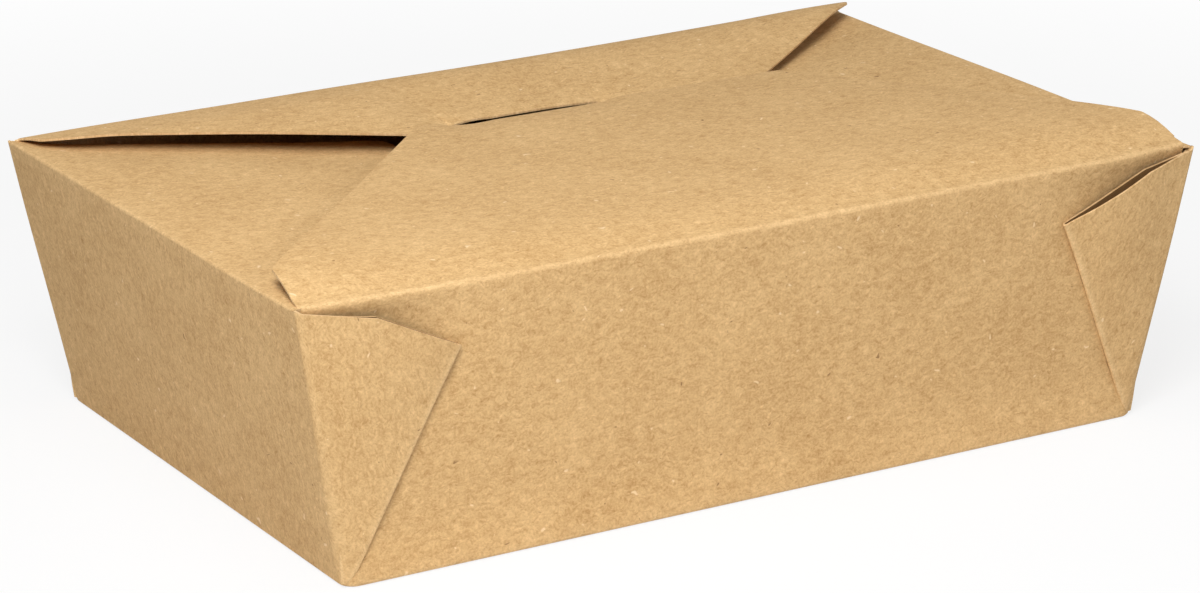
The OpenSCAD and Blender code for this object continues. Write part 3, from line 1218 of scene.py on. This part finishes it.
@dataclass
class EndSheet(Piece):
    """End wall with its end flap, and the outer layers of the webs that wrap its corners.

    Attributes:
        side: Which end of the box.
        front_web: Web at the front corner.
        back_web: Web at the back corner.
        base_lip: How far the sheet runs in under the base.
        soft_top: Half the width of the curve of the top crease.
        tilt: How far the end flap slopes down, in radians.
        mouth_half: Half the distance between the two end flaps.
        tip_half: Half the width of the end flap's tip.
        flap_bow: Height of the end flap's bow.
        under_back_flap: How far it sinks where it goes under the back flap.
        wrap_step: Distance between columns round the upright corners.
        web_reach: Length of the sheet past those corners before it is cut.
        fold_steps: Faces across a web's diagonal fold.
        pattern: Place of the sheet on the pattern of the board.
    """

    side: Side = Side.LEFT
    front_web: WebShape = field(default_factory=WebShape)
    back_web: WebShape = field(default_factory=WebShape)
    base_lip: float = 1.5
    soft_top: float = 0.9
    tilt: float = math.radians(3)
    mouth_half: float = 31.5
    tip_half: float = 40.0
    flap_bow: float = 0.3
    under_back_flap: float = 1.1
    wrap_step: float = 0.66
    web_reach: float = 40.0
    fold_steps: int = 7
    pattern: tuple[float, float] = (400.0, 30.0)

    def run(self) -> FoldedRun:
        """Panels from the base up the wall and in over the top."""
        form, box = self.form, self.form.box
        wall = self.wall_reach
        flap = (box.half_l(box.end_top) - self.mouth_half) / math.cos(self.tilt)
        return FoldedRun(
            panels=(
                Panel(self.base_lip, lambda p, t: form.ring(self.side, p, self.base_lip - t, 0.0)),
                Panel(wall, self.wall),
                Panel(flap, self.flap),
            ),
            softness=(0.85, self.soft_top),
        )

    @property
    def wall_reach(self) -> float:
        """Length of the end wall up its slope."""
        box = self.form.box
        return math.hypot(box.end_top, box.half_l(box.end_top) - box.half_l(0))

    @property
    def hinge_half(self) -> float:
        """Half the length of the end flap's crease."""
        return self.form.box.top_w / 2 - self.form.box.end_notch

    def shape(self, across: float) -> WebShape:
        """Web on the front or the back."""
        return self.front_web if across < 0 else self.back_web

    def wall(self, across: float, t: float) -> Vector:
        """Point of the end wall, of a corner, or of a web's outer layer."""
        box = self.form.box
        z = box.end_top * t / self.wall_reach
        point = self.form.ring(self.side, across, 0.0, z)
        way = abs(across) - END_FLAT - END_ARC
        if way <= 0:
            return point
        web = self.shape(across)
        x = box.half_l(z) - box.corner_radius(z) - way
        width = max(2.0, x + way - web.diagonal(z))
        share = min(1.0, max(0.0, way / width))
        sprung = web.lift * math.sin(math.pi * share) ** 1.3 * smooth(15, 58, z)
        return point + Vector((0, math.copysign(sprung + web.standing(share, z), across), 0))

    def flap(self, across: float, t: float) -> Vector:
        """Point of the top of the end flap."""
        box = self.form.box
        root = self.form.ring(self.side, across, 0.0, box.end_top)
        reach = box.half_l(box.end_top) - self.mouth_half
        share = t * math.cos(self.tilt) / reach
        sag = math.sin(self.tilt) * t
        bow = self.flap_bow * math.sin(math.pi * min(1.0, share)) * (1 - (across / END_FLAT) ** 2)
        sunk = self.under_back_flap * smooth(20, -4, self.ahead_of_back_flap(across, t))
        sunk *= smooth(0, 14, t)
        sunk *= 1 - 0.35 * smooth(58, 76, t)
        return root + Vector((-self.side.value * t * math.cos(self.tilt), 0, bow - sag - sunk))

    def ahead_of_back_flap(self, across: float, t: float) -> float:
        """How far a point of the end flap lies in front of the back flap's slanted edge."""
        box, flaps = self.form.box, self.form.flaps
        left = self.side is Side.LEFT
        outer = flaps.back_shoulder_left if left else flaps.back_shoulder_right
        inner = flaps.back_free_left if left else flaps.back_free_right
        share = (outer - (box.half_l(box.end_top) - t)) / (outer - inner)
        edge = box.fold_y - flaps.back_shoulder_d - share * (flaps.back_d - flaps.back_shoulder_d)
        return edge - across

    def flat(self, x: float, z: float) -> tuple[float, float]:
        """Place on the flat sheet of a point of a web."""
        box = self.form.box
        across = END_FLAT + END_ARC + box.half_l(z) - box.corner_radius(z) - x
        return across, self.base_lip + z * self.wall_reach / box.end_top

    def fold_line(self, web: WebShape) -> tuple[Vector, Vector, Vector]:
        """Start, direction and outward direction of a web's diagonal fold on the flat sheet."""
        root, tip = Vector(self.flat(*web.root)), Vector(self.flat(*web.tip))
        way = (tip - root).normalized()
        return root, way, Vector((way.y, -way.x))

    def place(self, run: FoldedRun, across: float, along: float) -> Vector:
        """Folds the sheet, with the edge of each web turned in along its diagonal.

        Args:
            run: The panels.
            across: Place across the sheet.
            along: Place along the sheet.

        Returns:
            The point.
        """
        if abs(across) > self.hinge_half + 0.01 and along > self.base_lip + self.wall_reach - self.soft_top:
            return self.wall(across, along - self.base_lip)
        if abs(across) < END_FLAT:
            return run.place(across, along)
        sign = math.copysign(1.0, across)
        root, way, out = self.fold_line(self.shape(across))
        spot = Vector((abs(across), along))
        past = (spot - root).dot(out)
        if past <= 0:
            return run.place(across, along)
        radius = self.form.box.web_fold_radius
        edge = spot - out * past
        turn = min(math.pi, past / radius)
        at = run.place(sign * edge.x, edge.y)
        inner = edge - out * 0.5
        ahead = (at - run.place(sign * inner.x, inner.y)).normalized()
        up = (run.place(sign * (edge + way).x, (edge + way).y) - at).normalized()
        inward = ahead.cross(up) if sign * self.side.value > 0 else up.cross(ahead)
        if inward.y * sign > 0:
            inward = -inward
        return at + ahead * (radius * math.sin(turn)) + inward * (radius * (1 - math.cos(turn)))

    def wear(self, run: FoldedRun, across: float, along: float) -> float:
        """Wear of the board, soft on the upright corners and strongest on the diagonal folds, where the light
        worn colour is partly real wear and partly a painted highlight of the fold's lit rim.

        Args:
            run: The panels.
            across: Place across the sheet.
            along: Place along the sheet.

        Returns:
            Wear from 0 to 1.
        """
        corner = (abs(across) - END_FLAT - END_ARC / 2) / 1.6
        worn = max(0.45 * run.wear(along), 0.3 * math.exp(-(corner**2)))
        root, _, out = self.fold_line(self.shape(across))
        past = (Vector((abs(across), along)) - root).dot(out)
        # Diagonal fold: real wear, and in part a painted highlight of its lit rim.
        return max(worn, math.exp(-(((past - 0.3) / 0.8) ** 2)) if abs(across) > END_FLAT else 0.0)

    def cut_web(self, blank: Blank, sign: int, top: float) -> None:
        """Scores the diagonal fold of one web and cuts the web's outline.

        Args:
            blank: The flat sheet.
            sign: -1 for the front web and 1 for the back one.
            top: Place along the sheet where the web's top edge meets the corner.
        """
        web, curl = self.shape(sign), math.pi * self.form.box.web_fold_radius
        root, way, out = self.fold_line(web)
        tip, bend = Vector(self.flat(*web.tip)), Vector(self.flat(*web.bend))
        flip = Vector((sign, 1))

        def on_web(middle: Vector) -> bool:
            """Whether a face lies on this web."""
            return middle.x * sign > END_FLAT and middle.y < top

        blank.score((root + out * -0.9) * flip, out * flip, on_web)
        for i in range(self.fold_steps):
            blank.score((root + out * (curl * i / self.fold_steps)) * flip, out * flip, on_web)
        over, start = tip + out * curl, root + out * curl + way
        chain = [
            (root.x + curl, 0, 0),
            (root.x + curl, root.y, 0),
            (start.x, start.y, 0),
            (over.x, over.y, 0),
            (tip.x, tip.y, 0),
            (bend.x, bend.y, 1.5),
            (END_FLAT + 1.0, top, 0),
        ]
        if sign < 0:
            chain = [(-x, y, r) for x, y, r in reversed(chain)]
        for a, b in zip(chain, chain[1:]):
            at_foot = min(a[1], b[1]) < root.y
            if abs(a[1] - b[1]) > 1e-6 and not at_foot:
                blank.trim_along([a, b], lambda c: on_web(c) and c.y > root.y)
            elif at_foot and a[1] * b[1] == 0:
                blank.trim_along([a, b], lambda c: on_web(c) and c.y < root.y)

    def build(self) -> bpy.types.Object:
        """Cuts, folds and places the sheet."""
        box, run = self.form.box, self.run()
        grid, arc = box.board.grid, END_FLAT + END_ARC
        wrapped = evenly(END_FLAT, arc, self.wrap_step)[1:]
        half = [*evenly(0, END_FLAT, grid), *wrapped, *evenly(arc, arc + self.web_reach, grid)[1:]]
        half = sorted({*half, self.hinge_half})
        top = self.flat(0, box.corner_top)[1]
        levels = {self.flat(*web.root)[1] for web in (self.front_web, self.back_web)} | {top}
        blank = Blank([-p for p in reversed(half[1:])] + half, sorted({*run.rows(grid), *levels}))
        hinge, crease = self.hinge_half, run.creases[1]
        blank.trim_along(
            [
                (hinge, top, 0),
                (hinge, crease + 0.5, 0.5),
                (self.tip_half, run.end, 3.0),
                (-self.tip_half, run.end, 3.0),
                (-hinge, crease + 0.5, 0.5),
                (-hinge, top, 0),
            ],
            lambda c: c.y > top,
        )
        for sign in (-1, 1):
            self.cut_web(blank, sign, top)
        blank.soften([])
        blank.fold(
            lambda p, v: self.place(run, p, v),
            lambda p, v: self.wear(run, p, v),
            Vector((self.pattern[0] * self.side.value, self.pattern[1])),
            turned=True,
        )
        if self.side is Side.LEFT:
            blank.turn_over()
        piece = self.dress(blank, f"end_sheet_{self.side.name.lower()}", "kraft_board")
        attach(piece, "tray")
        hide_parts("tray")
        return piece


@dataclass
class WebLayer(Piece):
    """Inner layer of a corner web, with the loop that joins it to the long wall.

    Attributes:
        side: Which end of the box.
        face: Which long wall.
        web: Shape of the web.
        loop: Length of the loop along the board.
        loop_steps: Columns of the loop.
        reach: Length of the layer before it is cut.
        low: Height where it starts.
        high: Height where it ends before it is cut.
        top: Height of its top edge at the corner.
        pattern: Place of the layer on the pattern of the board.
    """

    side: Side = Side.LEFT
    face: Face = Face.FRONT
    web: WebShape = field(default_factory=WebShape)
    loop: float = 1.8
    loop_steps: int = 10
    reach: float = 38.0
    low: float = 0.8
    high: float = 61.0
    top: float = 60.0
    pattern: tuple[float, float] = (700.0, 300.0)

    def surface(self, way: float, z: float) -> Vector:
        """Point of the layer's wall side, or of the loop where way is below 0."""
        box, web = self.form.box, self.web
        corner_x = box.loop_x(z)
        width = max(2.0, corner_x - web.diagonal(z))
        share = min(1.0, max(0.0, way / width))
        x = corner_x - max(0.0, way)
        y = box.half_w(z) - box.inner_inset + web.standing(share, z)
        point = self.form.settled(self.side.value * x, self.face.value * y, z)
        if way >= 0:
            return point
        wall = self.form.long_wall(self.face, self.side.value * corner_x, z)
        middle = (point + wall) / 2
        spoke = point - middle
        turn = math.pi * min(1.0, -way / self.loop)
        out = Vector((self.side.value * max(spoke.length, PINCH), 0, 0))
        return middle + spoke * math.cos(turn) + out * math.sin(turn)

    @staticmethod
    def wear(way: float, z: float) -> float:
        """Wear on the loop, and a value below 0 further in, which paints shade on the layer that lies deep in
        the fold.

        Args:
            way: Distance from the loop along the wall.
            z: Height, which changes nothing.

        Returns:
            Wear from -1 to 1.
        """
        # Below 0 away from the loop: painted shade for the layer hidden deep in the fold.
        return math.exp(-((way / 1.5) ** 2)) - smooth(2, 5, way)

    def build(self) -> bpy.types.Object:
        """Cuts, folds and places the layer."""
        box, web = self.form.box, self.web
        loop = [-self.loop + self.loop * i / self.loop_steps for i in range(self.loop_steps)]
        grid = box.board.grid
        blank = Blank(loop + evenly(0, self.reach, grid), evenly(self.low, self.high, grid))
        root, tip, (bend_x, bend_z) = ((box.loop_x(z) - x, z) for x, z in (web.root, web.tip, web.bend))
        blank.trim_along([(*root, 0.0), (*tip, 0.0)])
        blank.trim_along([(*tip, 0.0), (bend_x, bend_z, 1.5), (0.5, self.top, 0), (-self.loop, self.top, 0)])
        blank.soften([])
        origin = Vector((self.pattern[0] * self.side.value, self.pattern[1] * self.face.value))
        blank.fold(self.surface, self.wear, origin)
        if self.side.value * self.face.value < 0:
            blank.turn_over()
        name = f"web_layer_{self.face.name.lower()}_{self.side.name.lower()}"
        piece = self.dress(blank, name, "kraft_board")
        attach(piece, "tray")
        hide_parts("tray")
        return piece


# --- the studio --------------------------------------------------------------


@dataclass(frozen=True)
class Lamp:
    """Soft box that lights the set.

    Attributes:
        name: Name of the lamp.
        place: Where it stands, in metres.
        size: Length of its sides, in metres.
        power: Power in watts.
    """

    name: str
    place: tuple[float, float, float]
    size: float
    power: float

    def build(self) -> None:
        """Places the lamp and aims it at the box."""
        light = bpy.data.lights.new(self.name, "AREA")
        light.shape = "SQUARE"
        light.size = self.size
        light.energy = self.power
        lamp = shown(self.name, light)
        lamp.location = self.place
        aim = BOX_MIDDLE - lamp.location
        lamp.rotation_mode = "QUATERNION"
        lamp.rotation_quaternion = aim.to_track_quat("-Z", "Y")


@dataclass(frozen=True)
class Studio:
    """White set with soft lamps and the camera.

    Attributes:
        azimuth: Direction of the camera, in degrees.
        elevation: Height of the camera, in degrees.
        roll: Roll of the camera, in degrees.
        offset: Place of the box's origin in the camera's view, in metres.
        lens: Focal length, in millimetres.
        ambient: Strength of the light from all round.
        table_half: Half the side of the table, in metres.
        table_gap: How far it lies under the box, in metres.
        table_grey: How much of the light it sends back.
        lamps: The soft boxes.
    """

    azimuth: float = -30.770
    elevation: float = 18.299
    roll: float = -0.173
    offset: tuple[float, float, float] = (-0.00009, -0.02462, -0.93184)
    lens: float = 124.95
    ambient: float = 0.11
    table_half: float = 3.0
    table_gap: float = 0.0001
    table_grey: float = 0.8
    lamps: tuple[Lamp, ...] = (
        Lamp("key", (-0.37, -0.43, 0.55), 0.32, 5.6),
        Lamp("overhead", (-0.15, -0.1, 0.6), 0.4, 1.05),
        Lamp("fill", (0.6, -0.4, 0.42), 0.25, 1.25),
    )

    def camera(self) -> None:
        """Places the camera at the photograph's viewing angle."""
        a, e, r = (math.radians(v) for v in (self.azimuth, self.elevation, self.roll))
        back = Vector((math.sin(a) * math.cos(e), -math.cos(a) * math.cos(e), math.sin(e)))
        level = Vector((0, 0, 1)).cross(back).normalized()
        tall = back.cross(level)
        right = level * math.cos(r) + tall * math.sin(r)
        up = tall * math.cos(r) - level * math.sin(r)
        data = bpy.data.cameras.new("camera")
        data.lens = self.lens
        data.sensor_width = 36.0
        camera = shown("camera", data)
        turn = Matrix((right, up, back)).transposed().to_4x4()
        turn.translation = -(right * self.offset[0] + up * self.offset[1] + back * self.offset[2])
        camera.matrix_world = turn
        bpy.context.scene.camera = camera

    def world(self) -> None:
        """Lights the set from all round, and shows white behind it."""
        world = bpy.data.worlds.new("studio")
        world.use_nodes = True
        bpy.context.scene.world = world
        shader = Shader(world.node_tree)
        rays = shader.node("ShaderNodeLightPath", {}, {})
        seen = Signal(shader, rays.outputs["Is Camera Ray"]) + Signal(shader, rays.outputs["Is Glossy Ray"])
        seen = (seen + Signal(shader, rays.outputs["Is Transmission Ray"])).step(0.0, 1.0)
        mixed = shader.shared(seen, shader.background(self.ambient), shader.background(1.0))
        shader.node("ShaderNodeOutputWorld", {}, {"Surface": mixed})

    def floor(self) -> None:
        """Lays the white table, which keeps a faint shadow."""
        bm = bmesh.new()
        bmesh.ops.create_grid(bm, x_segments=1, y_segments=1, size=self.table_half)
        bmesh.ops.translate(bm, vec=Vector((0, 0, -self.table_gap)), verts=bm.verts)
        mesh = bpy.data.meshes.new("table")
        bm.to_mesh(mesh)
        bm.free()
        table = shown("table", mesh)
        material = bpy.data.materials.new("white_table")
        material.use_nodes = True
        shader = Shader(material.node_tree)
        rays = shader.node("ShaderNodeLightPath", {}, {})
        place = shader.node("ShaderNodeTexCoord", {}, {}).outputs["Object"]
        away = shader.value("ShaderNodeVectorMath", {"operation": "LENGTH"}, {0: place}, "Value")
        seen = Signal(shader, rays.outputs["Is Camera Ray"]) * (away.step(0.16, 0.5) * 0.18 + 0.82)
        matt = shader.node("ShaderNodeBsdfDiffuse", {}, {"Color": (*[self.table_grey] * 3, 1)}).outputs[0]
        white = shader.node("ShaderNodeEmission", {}, {"Color": WHITE, "Strength": 1.0}).outputs[0]
        shader.node("ShaderNodeOutputMaterial", {}, {"Surface": shader.shared(seen, matt, white)})
        mesh.materials.append(material)

    def build(self) -> None:
        """Sets up the camera, the world, the table and the lamps."""
        self.camera()
        self.world()
        self.floor()
        for lamp in self.lamps:
            lamp.build()
        bpy.context.scene.view_settings.view_transform = "Standard"


@dataclass
class TakeawayBox:
    """The whole folded box."""

    form: BoxForm = field(default_factory=BoxForm)
    finish: BoardFinish = field(default_factory=BoardFinish)

    def pieces(self) -> Iterable[bpy.types.Object]:
        """Builds the pieces one by one.

        Returns:
            The pieces in turn.
        """
        materials = self.finish.build()
        strip = LongStrip(self.form, materials)
        yield strip.build()
        fold = FrontFold(self.form, materials, start=strip.run().end)
        yield fold.build()
        yield FrontFlap(self.form, materials, start=fold.run().end).build()
        left_front = WebShape((97.5, 1.3), (73.4, 48.2), (92.4, 57.4), 0.4, 0.9)
        right_front = WebShape((96.6, 1.3), (75.7, 48.8), (96.5, 57.9), 1.7, 0.4)
        plain = WebShape((97.0, 1.3), (75.0, 48.5), (95.0, 57.7), 0.3, 0.4)
        for side, front in ((Side.LEFT, left_front), (Side.RIGHT, right_front)):
            yield EndSheet(self.form, materials, side, front, plain).build()
            yield WebLayer(self.form, materials, side, Face.FRONT, front).build()
            yield WebLayer(self.form, materials, side, Face.BACK, plain).build()


def main() -> None:
    """Builds the box and its set, and reports each piece."""
    logging.basicConfig(level=logging.INFO, format="%(name)s: %(message)s", stream=sys.stdout)
    noise.seed_set(WAVE_SEED)
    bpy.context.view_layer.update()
    for piece in TakeawayBox().pieces():
        LOG.info("placed %s", piece.name)
    Studio().build()


if __name__ == "__main__":
    main()
